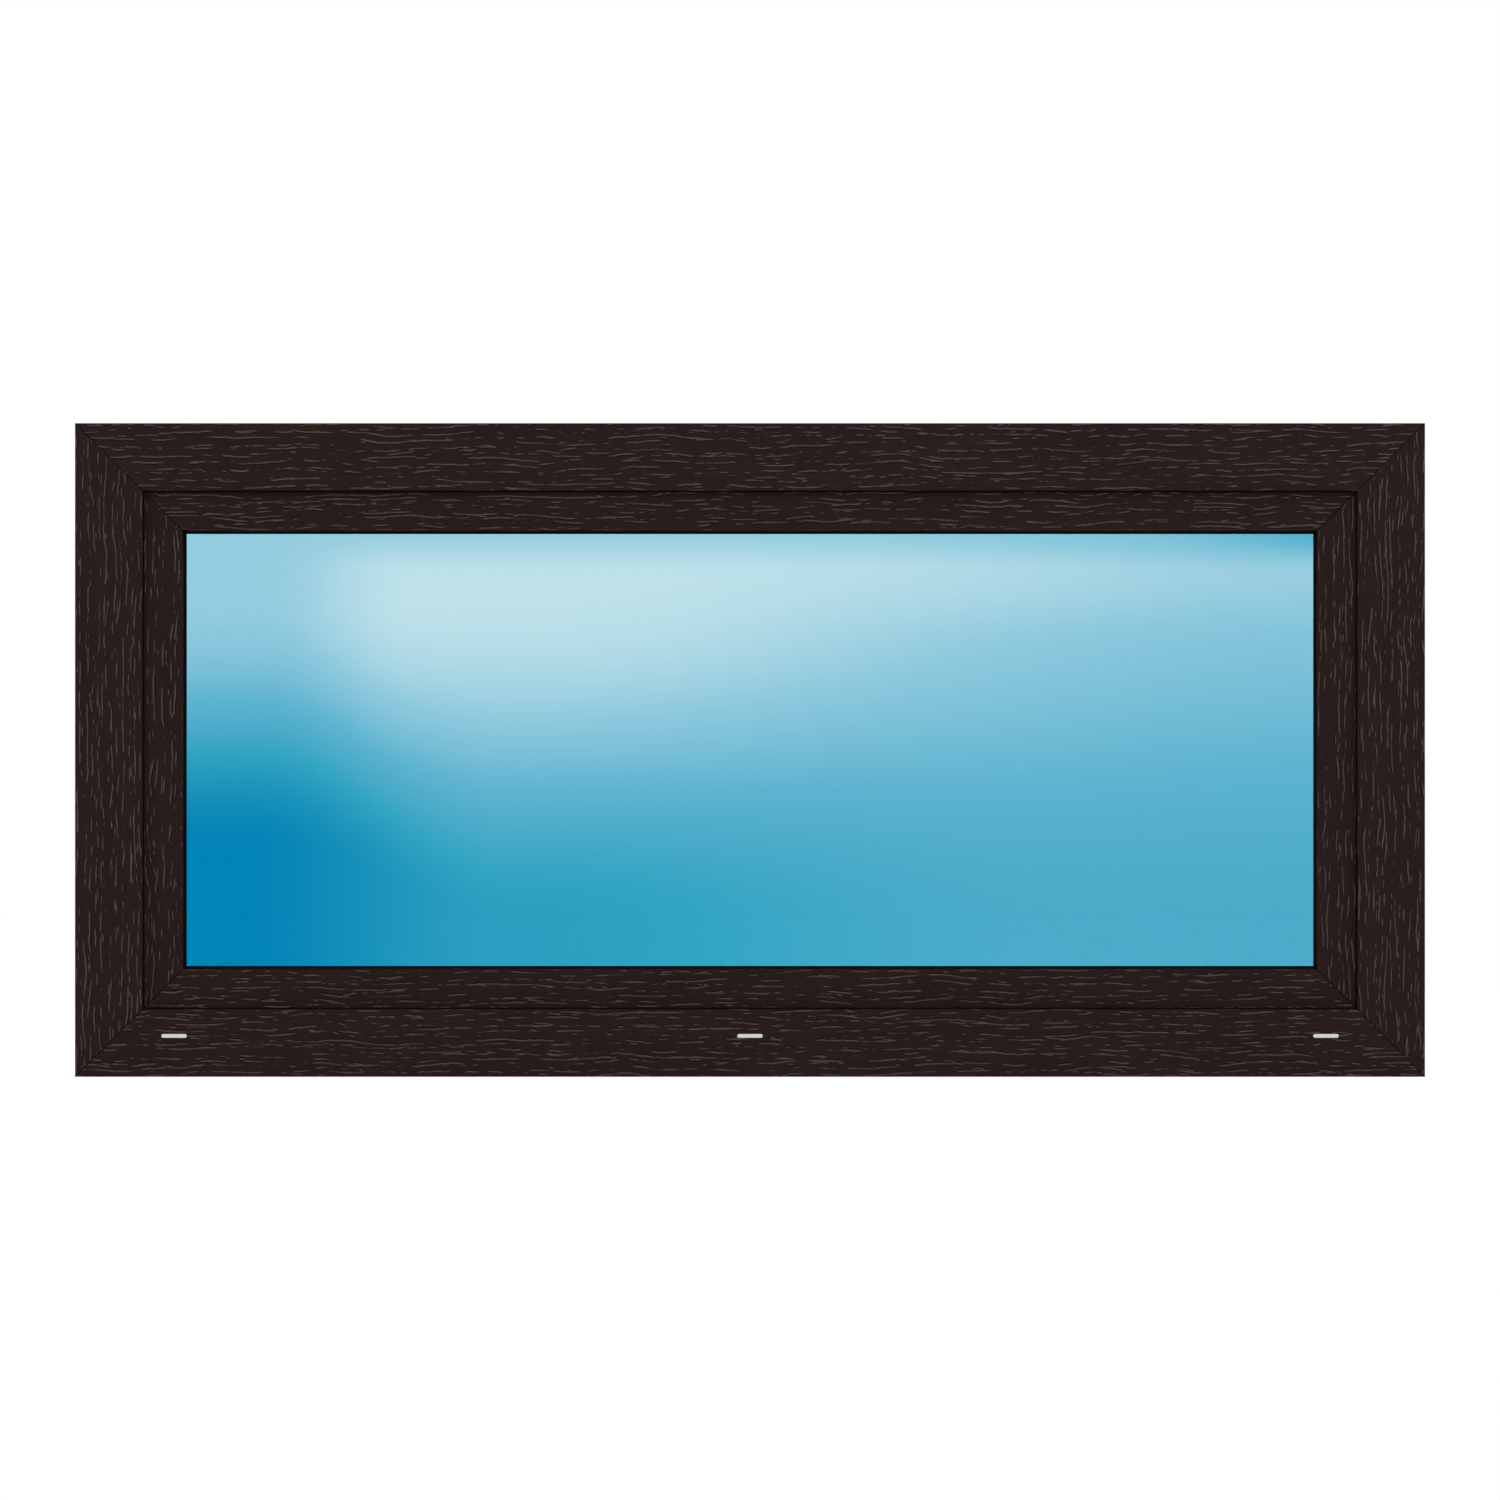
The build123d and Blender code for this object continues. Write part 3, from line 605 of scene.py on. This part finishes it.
def roseOutline(box, inset, y):
    corner = handle["roseCorner"] - inset
    halfWidth = (box[1].x - box[0].x) / 2 - inset - corner
    halfHeight = (box[1].z - box[0].z) / 2 - inset - corner
    middle = (box[0] + box[1]) / 2
    steps = handle["cornerSteps"]
    loop = []
    for quarter, (right, up) in enumerate(((1, 1), (-1, 1), (-1, -1), (1, -1))):
        for step in range(steps + 1):
            turn = math.radians(90 * (quarter + step / steps))
            x = middle.x + right * halfWidth + corner * math.cos(turn)
            z = middle.z + up * halfHeight + corner * math.sin(turn)
            loop.append(Vector((x, y, z)))
    return loop


def collarCircle(middle, radius, y):
    count = handle["collarPoints"]
    turns = [2 * math.pi * i / count for i in range(count)]
    return [Vector((radius * math.cos(t), y, middle + radius * math.sin(t))) for t in turns]


def makeHandle():
    leverBox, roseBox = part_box("handle_lever"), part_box("handle_rose")
    edge = handle["roseEdge"]
    straight = [roseOutline(roseBox, 0.0, roseBox[0].y), roseOutline(roseBox, 0.0, roseBox[1].y - edge)]
    rounded = [
        roseOutline(roseBox, inwards, roseBox[1].y - edge + along)
        for along, inwards in roundedSteps(edge, handle["roseSteps"])
    ]
    verts, faces = [], []
    stackLoops(verts, faces, straight + rounded)
    rose = makePiece("handleRose", verts, faces, finishes["anodised"])
    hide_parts("handle_rose")

    middle = (leverBox[0].z + leverBox[1].z) / 2
    radius, foot, edge = (leverBox[1].z - leverBox[0].z) / 2, roseBox[1].y, handle["collarEdge"]
    collarTop = foot + handle["collarHeight"]
    collar = [collarCircle(middle, radius, foot), collarCircle(middle, radius, collarTop - edge)]
    for along, inwards in roundedSteps(edge, handle["collarSteps"]):
        collar.append(collarCircle(middle, radius - inwards, collarTop - edge + along))
    verts, faces = [], []
    stackLoops(verts, faces, collar)
    stackLoops(verts, faces, leverLoops(leverBox, collarTop - edge))
    lever = makePiece("handleLever", verts, faces, finishes["anodised"])
    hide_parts("handle_lever")


makeHandle()
print("handle made")


# Pieces that repeat, grown by Geometry Nodes from a guide mesh

def startGrower(name, sizes):
    tree = bpy.data.node_groups.new(name, "GeometryNodeTree")
    tree.interface.new_socket("Guide", in_out="INPUT", socket_type="NodeSocketGeometry")
    for label, value in sizes.items():
        socket = tree.interface.new_socket(label, in_out="INPUT", socket_type="NodeSocketFloat")
        socket.default_value = value
    tree.interface.new_socket("Pieces", in_out="OUTPUT", socket_type="NodeSocketGeometry")
    return tree, tree.nodes.new("NodeGroupInput").outputs, tree.nodes.new("NodeGroupOutput").inputs


def endGrower(tree, instances, result, finish):
    solid = addNode(tree, "GeometryNodeRealizeInstances")
    painted = addNode(tree, "GeometryNodeSetMaterial")
    feed(tree, instances, solid.inputs[0])
    feed(tree, solid.outputs[0], painted.inputs["Geometry"])
    painted.inputs["Material"].default_value = finish
    feed(tree, painted.outputs[0], result["Pieces"])


def growPiece(name, tree, sizes, verts, edges, finish):
    mesh = bpy.data.meshes.new(name + "Guide")
    mesh.from_pydata(verts, edges, [])
    guide = bpy.data.objects.new(name + "Guide", mesh)
    bpy.context.scene.collection.objects.link(guide)
    grower = guide.modifiers.new("grower", "NODES")
    grower.node_group = tree
    for item in tree.interface.items_tree:
        if item.in_out == "INPUT" and item.name in sizes:
            grower[item.identifier] = sizes[item.name]
    ready = guide.evaluated_get(bpy.context.evaluated_depsgraph_get())
    grown = bpy.data.meshes.new_from_object(ready)
    guide.modifiers.clear()
    bpy.data.objects.remove(guide)
    grown.name = name
    grown.materials.clear()
    grown.materials.append(finish)
    grown.polygons.foreach_set("material_index", [0] * len(grown.polygons))
    return dressPiece(name, grown)


# Cross-headed screws through the hinge leaves

screws = {
    "sizes": {  # in mm, made smaller by Scale once the cross is cut
        "Head Radius": 3.6, "Head Height": 0.9, "Cross Width": 1.0, "Cross Length": 4.0,
        "Cross Depth": 0.6, "Scale": 0.001, "Seed": 4.0,
    },
    "headSides": 20,
    "topShare": 0.72,          # the head's flat top, as a share of its radius
    "armDepths": (2.0, 1.8),   # unequal, so that no floors coincide
    "spread": (-0.023, 0.0, 0.023),
    "frameLeafRise": 0.0185,
    "sashLeafRise": 0.0585,
    "leafThickness": 0.003,
}


def makeScrewGrower():
    tree, given, result = startGrower("screwHeads", screws["sizes"])
    head = addNode(tree, "GeometryNodeMeshCone")
    head.inputs["Vertices"].default_value = screws["headSides"]
    feed(tree, calc(tree, "MULTIPLY", given["Head Radius"], screws["topShare"]), head.inputs["Radius Top"])
    feed(tree, given["Head Radius"], head.inputs["Radius Bottom"])
    feed(tree, given["Head Height"], head.inputs["Depth"])
    shape = head.outputs["Mesh"]
    width, length = given["Cross Width"], given["Cross Length"]
    for (wide, tall), share in zip(((width, length), (length, width)), screws["armDepths"]):
        arm = addNode(tree, "GeometryNodeMeshCube")
        deep = calc(tree, "MULTIPLY", given["Cross Depth"], share)
        feed(tree, vectorOf(tree, wide, tall, deep), arm.inputs["Size"])
        top = addNode(tree, "GeometryNodeTransform")
        feed(tree, arm.outputs["Mesh"], top.inputs["Geometry"])
        feed(tree, vectorOf(tree, 0.0, 0.0, given["Head Height"]), top.inputs["Translation"])
        cut = addNode(tree, "GeometryNodeMeshBoolean", operation="DIFFERENCE")
        feed(tree, shape, cut.inputs["Mesh 1"])
        feed(tree, top.outputs[0], cut.inputs["Mesh 2"])
        shape = cut.outputs["Mesh"]
    facets = addNode(tree, "GeometryNodeTriangulate")
    feed(tree, shape, facets.inputs["Mesh"])
    placed = addNode(tree, "GeometryNodeInstanceOnPoints")
    feed(tree, given["Guide"], placed.inputs["Points"])
    feed(tree, facets.outputs["Mesh"], placed.inputs["Instance"])
    placed.inputs["Rotation"].default_value = (math.radians(-90), 0.0, 0.0)  # heads face indoors
    scale = given["Scale"]
    feed(tree, vectorOf(tree, scale, scale, scale), placed.inputs["Scale"])
    lot = addNode(tree, "FunctionNodeRandomValue", data_type="FLOAT")
    whole = addNode(tree, "FunctionNodeFloatToInt")
    feed(tree, given["Seed"], whole.inputs[0])
    feed(tree, whole.outputs[0], lot.inputs["Seed"])
    lot.inputs[3].default_value = math.pi  # the most that a head is turned
    turned = addNode(tree, "GeometryNodeRotateInstances")
    feed(tree, placed.outputs[0], turned.inputs["Instances"])
    feed(tree, vectorOf(tree, 0.0, 0.0, lot.outputs[1]), turned.inputs["Rotation"])
    endGrower(tree, turned.outputs[0], result, finishes["pinSteel"])
    return tree


def makeScrews():
    verts = []
    thick = screws["leafThickness"]
    for side in ("left", "right"):
        frameLeaf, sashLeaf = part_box(f"hinge_{side}_frame_leaf"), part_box(f"hinge_{side}_sash_leaf")
        middle = (frameLeaf[0].x + frameLeaf[1].x) / 2
        for leaf, rise in ((frameLeaf, screws["frameLeafRise"]), (sashLeaf, screws["sashLeafRise"])):
            verts += [(middle + x, leaf[0].y + thick, rise) for x in screws["spread"]]
    growPiece(
        "hingeScrews", makeScrewGrower(), screws["sizes"], verts, [], finishes["pinSteel"],
    )


makeScrews()
print("hinge screws made")


# Two rows of fine slots along the spacer bars' visible faces, drawn as thin dark patches: painted shade for
# the slots' hollows

spacerSlots = {
    "sizes": {"Pitch": 0.005, "Slot Length": 0.0019, "Slot Width": 0.0005, "Slot Height": 0.00004},
    "slotSides": 8,
    "topShare": 0.9,
    "rowGap": 0.0046,
    "margin": 0.02,
}


def makeSlotGrower():
    tree, given, result = startGrower("spacerSlotRows", spacerSlots["sizes"])
    line = addNode(tree, "GeometryNodeMeshToCurve")
    feed(tree, given["Guide"], line.inputs["Mesh"])
    steps = addNode(tree, "GeometryNodeCurveToPoints", mode="LENGTH")
    feed(tree, line.outputs[0], steps.inputs["Curve"])
    feed(tree, given["Pitch"], steps.inputs["Length"])
    slotShape = addNode(tree, "GeometryNodeMeshCone")
    slotShape.inputs["Vertices"].default_value = spacerSlots["slotSides"]
    slotShape.inputs["Radius Top"].default_value = spacerSlots["topShare"] / 2
    slotShape.inputs["Radius Bottom"].default_value = 0.5  # one unit wide and deep, sized by Scale below
    slotShape.inputs["Depth"].default_value = 1.0
    placed = addNode(tree, "GeometryNodeInstanceOnPoints")
    feed(tree, steps.outputs["Points"], placed.inputs["Points"])
    feed(tree, slotShape.outputs["Mesh"], placed.inputs["Instance"])
    aim = addNode(tree, "FunctionNodeAlignRotationToVector", axis="X")
    feed(tree, steps.outputs["Tangent"], aim.inputs["Vector"])
    feed(tree, aim.outputs[0], placed.inputs["Rotation"])
    size = vectorOf(tree, given["Slot Length"], given["Slot Width"], given["Slot Height"])
    feed(tree, size, placed.inputs["Scale"])
    endGrower(tree, placed.outputs[0], result, finishes["slotShadow"])
    return tree


def makeSpacerSlots():
    low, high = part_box("spacer_bar_bottom"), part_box("spacer_bar_top")
    left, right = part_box("spacer_bar_left"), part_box("spacer_bar_right")
    edge = spacerSlots["margin"]
    middle = (low[0].y + low[1].y) / 2
    verts = []
    for y in (middle - spacerSlots["rowGap"] / 2, middle + spacerSlots["rowGap"] / 2):
        for z in (low[1].z, high[0].z):
            verts += [(left[1].x + edge, y, z), (right[0].x - edge, y, z)]
        for x in (left[1].x, right[0].x):
            verts += [(x, y, low[1].z + edge), (x, y, high[0].z - edge)]
    edges = [(i, i + 1) for i in range(0, len(verts), 2)]
    growPiece(
        "spacerSlots", makeSlotGrower(), spacerSlots["sizes"], verts, edges, finishes["slotShadow"],
    )


makeSpacerSlots()
print("spacer slots made")


# Floor, light and camera

studio = {
    "floorSize": 40.0,
    "floorWhite": 0.92,
    "cleanWhite": 0.83,      # share of the floor that is plain white to the camera
    "glow": 1.06,
    "underLight": 0.40,      # share of the floor that shines on the object, as a light table does
    "worldLight": 0.80,
    "frontLamp": dict(place=(-1.3, -6.4, 2.7), size=3.2, power=95.0),
    "sideLamp": dict(place=(2.6, -5.6, 2.5), size=3.2, power=66.0),
    "backLamp": dict(place=(1.5, 4.6, 3.4), size=3.0, power=80.0),
}


def seenDirectly(tree):  # 1 where the eye sees a thing straight, in a mirror or through glass
    rays = addNode(tree, "ShaderNodeLightPath").outputs
    direct = calc(tree, "MAXIMUM", rays["Is Camera Ray"], rays["Is Glossy Ray"])
    return calc(tree, "MAXIMUM", direct, rays["Is Transmission Ray"])


def makeFloor():
    mesh = bpy.data.meshes.new("floor")
    half = studio["floorSize"] / 2
    corners = [(-half, -half, 0), (half, -half, 0), (half, half, 0), (-half, half, 0)]
    mesh.from_pydata(corners, [], [(0, 1, 2, 3)])
    floor = bpy.data.objects.new("floor", mesh)
    bpy.context.scene.collection.objects.link(floor)
    material = bpy.data.materials.new("whiteFloor")
    material.use_nodes = True
    tree = material.node_tree
    tree.nodes.clear()
    paint = addNode(tree, "ShaderNodeBsdfDiffuse")
    white = studio["floorWhite"]
    paint.inputs["Color"].default_value = (white, white, white, 1.0)
    glow = addNode(tree, "ShaderNodeEmission")
    glow.inputs["Strength"].default_value = studio["glow"]
    mix = addNode(tree, "ShaderNodeMixShader")
    share = fade(tree, seenDirectly(tree), 0.0, 1.0, studio["underLight"], studio["cleanWhite"])
    feed(tree, share, mix.inputs[0])
    feed(tree, paint.outputs[0], mix.inputs[1])
    feed(tree, glow.outputs[0], mix.inputs[2])
    feed(tree, mix.outputs[0], addNode(tree, "ShaderNodeOutputMaterial").inputs["Surface"])
    mesh.materials.append(material)


def makeWorld():
    world = bpy.data.worlds.new("studio")
    bpy.context.scene.world = world
    world.use_nodes = True
    tree = world.node_tree
    tree.nodes.clear()
    light = addNode(tree, "ShaderNodeBackground")
    strength = fade(tree, seenDirectly(tree), 0.0, 1.0, studio["worldLight"], 1.0)
    light.inputs["Color"].default_value = (1.0, 1.0, 1.0, 1.0)
    feed(tree, strength, light.inputs["Strength"])
    feed(tree, light.outputs[0], addNode(tree, "ShaderNodeOutputWorld").inputs["Surface"])


def addLamp(name, place, size, power):
    data = bpy.data.lights.new(name, "AREA")
    data.shape = "DISK"
    data.size = size
    data.energy = power
    lamp = bpy.data.objects.new(name, data)
    lamp.location = place
    lamp.rotation_euler = (windowMiddle - Vector(place)).to_track_quat("-Z", "Y").to_euler()
    bpy.context.scene.collection.objects.link(lamp)


shot = {
    "pictureWidth": 1500,    # both in pixels of the photograph
    "windowInPicture": 1350,
    "lens": 500.0,           # long, because the photograph shows no perspective
    "sensor": 36.0,
    "farthest": 200.0,
}


def addCamera():
    seenWidth = windowWidth * shot["pictureWidth"] / shot["windowInPicture"]
    data = bpy.data.cameras.new("camera")
    data.lens = shot["lens"]
    data.sensor_width = shot["sensor"]
    data.clip_end = shot["farthest"]
    distance = seenWidth * data.lens / data.sensor_width
    camera = bpy.data.objects.new("camera", data)
    camera.location = (0.0, outsideFace - distance, windowMiddle.z)
    camera.rotation_euler = (math.radians(90), 0.0, 0.0)
    bpy.context.scene.collection.objects.link(camera)
    bpy.context.scene.camera = camera


makeFloor()
makeWorld()
for lampName in ("frontLamp", "sideLamp", "backLamp"):
    addLamp(lampName, **studio[lampName])
addCamera()
bpy.context.scene.view_settings.view_transform = "Standard"
print("stage, lamps and camera set")
